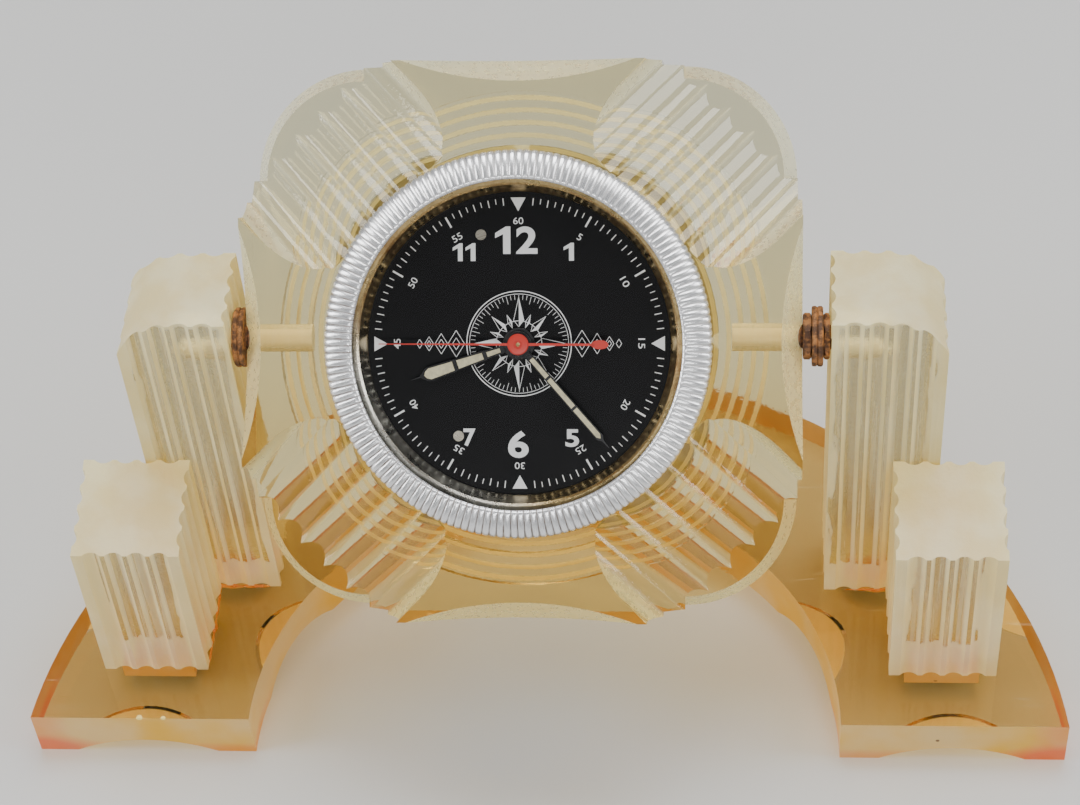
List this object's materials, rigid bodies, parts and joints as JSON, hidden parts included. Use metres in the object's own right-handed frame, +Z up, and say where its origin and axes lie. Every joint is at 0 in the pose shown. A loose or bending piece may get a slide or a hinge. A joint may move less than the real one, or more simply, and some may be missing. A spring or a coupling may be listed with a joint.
{
  "type": "novelty clock",
  "caption": "Desk clock with a ribbed-bezel dial in a thick fluted clear acrylic head that tilts between fluted posts on a horseshoe base.",
  "frame": {"origin": "middle of the clock's bounding rectangle, on the underside of the base", "axes": "X to the clock's right as its reader sees it, Y from the dial side to the back, Z up"},
  "size_m": [0.2, 0.0938, 0.1203],
  "materials": {
    "clear_acrylic": "thick clear cast acrylic, yellowed with age, polished, with frosted machined faces",
    "cement": "aged amber solvent cement",
    "rusty_steel": "threaded steel hardware, browned by rust",
    "case_steel": "spun steel case, satin",
    "chrome": "ribbed chrome plate with small dark pits",
    "brass": "lacquered brass, slightly tarnished",
    "crystal": "flat mineral glass",
    "dial_black": "semi-matt black enamel with white printed figures",
    "screw_nickel": "nickel-plated slotted screws",
    "movement_black": "moulded black plastic",
    "board_green": "green lacquered circuit board",
    "copper_winding": "enamelled copper winding",
    "core_steel": "stamped soft iron",
    "magnet_grey": "moulded magnet with a pinion",
    "wheel_ivory": "moulded ivory wheels",
    "cell_nickel": "bright nickel cell",
    "contact_brass": "spring strip",
    "hand_black": "black lacquer with cream luminous filling",
    "hand_red": "red lacquer"
  },
  "bodies": {
    "stand": {"base_slab": "clear_acrylic", "tall_post_left": "clear_acrylic", "tall_post_right": "clear_acrylic", "short_post_left": "clear_acrylic", "short_post_right": "clear_acrylic", "post_cement": "cement"},
    "head": {"head_block": "clear_acrylic", "pivot_stud_left": "rusty_steel", "pivot_stud_right": "rusty_steel", "washers_left": "rusty_steel", "washers_right": "rusty_steel", "head_nut": "rusty_steel", "lock_nut": "rusty_steel", "case_can": "case_steel", "clamp_ring": "case_steel", "bezel": "chrome", "reflector_ring": "brass", "crystal": "crystal", "dial": "dial_black", "dial_screws": "screw_nickel", "movement_plate": "movement_black", "movement_cover": "movement_black", "circuit_board": "board_green", "coil": "copper_winding", "stator": "core_steel", "button_cell": "cell_nickel", "cell_contact": "contact_brass"},
    "minute_set": {"cannon_pinion": "contact_brass", "minute_hand": "hand_black"},
    "minute_wheel_body": {"minute_wheel": "wheel_ivory"},
    "hour_set": {"hour_wheel": "contact_brass", "hour_hand": "hand_black"},
    "setting_knob_body": {"setting_knob": "movement_black"},
    "seconds_set": {"seconds_wheel": "wheel_ivory", "seconds_hand": "hand_red"},
    "third_wheel_body": {"third_wheel": "wheel_ivory"},
    "centre_wheel_body": {"centre_wheel": "wheel_ivory"},
    "idler_wheel_body": {"idler_wheel": "wheel_ivory"},
    "rotor_body": {"rotor": "magnet_grey"},
    "hatch_body": {"cell_hatch": "case_steel"}
  },
  "joints": [
    {"name": "head_tilt", "type": "hinge", "parent": "stand", "child": "head", "pos_m": [0, -0.00487, 0.0794], "axis": [1, 0, 0], "continuous": true},
    {"name": "set_time", "type": "hinge", "parent": "head", "child": "minute_set", "pos_m": [-0.0014, -0.00544, 0.07883], "axis": [0, 0.7071, -0.7071], "continuous": true},
    {"name": "minute_wheel_turn", "type": "hinge", "parent": "head", "child": "minute_wheel_body", "pos_m": [-0.0014, -0.00035, 0.08392], "axis": [0, 0.7071, -0.7071], "continuous": true},
    {"name": "hour_turn", "type": "hinge", "parent": "head", "child": "hour_set", "pos_m": [-0.0014, -0.00544, 0.07883], "axis": [0, 0.7071, -0.7071], "continuous": true},
    {"name": "setting_turn", "type": "hinge", "parent": "head", "child": "setting_knob_body", "pos_m": [-0.0014, 0.00474, 0.08902], "axis": [0, 0.7071, -0.7071], "continuous": true},
    {"name": "seconds_turn", "type": "hinge", "parent": "head", "child": "seconds_set", "pos_m": [-0.0014, -0.00544, 0.07883], "axis": [0, 0.7071, -0.7071], "continuous": true},
    {"name": "third_turn", "type": "hinge", "parent": "head", "child": "third_wheel_body", "pos_m": [-0.00876, -0.00844, 0.07583], "axis": [0, 0.7071, -0.7071], "continuous": true},
    {"name": "centre_turn", "type": "hinge", "parent": "head", "child": "centre_wheel_body", "pos_m": [-0.0014, -0.00544, 0.07883], "axis": [0, 0.7071, -0.7071], "continuous": true},
    {"name": "idler_turn", "type": "hinge", "parent": "head", "child": "idler_wheel_body", "pos_m": [0.00588, -0.00841, 0.07586], "axis": [0, 0.7071, -0.7071], "continuous": true},
    {"name": "rotor_turn", "type": "hinge", "parent": "head", "child": "rotor_body", "pos_m": [0.01211, -0.01095, 0.07332], "axis": [0, 0.7071, -0.7071], "continuous": true},
    {"name": "hatch_turn", "type": "hinge", "parent": "head", "child": "hatch_body", "pos_m": [-0.01872, -0.01251, 0.07176], "axis": [0, 0.7071, -0.7071], "range_deg": [0, 45]}
  ],
  "couplings": [
    {"joint": "minute_wheel_turn", "follows": "set_time", "ratio": -0.33333},
    {"joint": "hour_turn", "follows": "set_time", "ratio": 0.083333},
    {"joint": "setting_turn", "follows": "set_time", "ratio": 1},
    {"joint": "third_turn", "follows": "seconds_turn", "ratio": -0.13333},
    {"joint": "centre_turn", "follows": "seconds_turn", "ratio": 0.016667},
    {"joint": "idler_turn", "follows": "seconds_turn", "ratio": -6},
    {"joint": "rotor_turn", "follows": "seconds_turn", "ratio": 30}
  ]
}
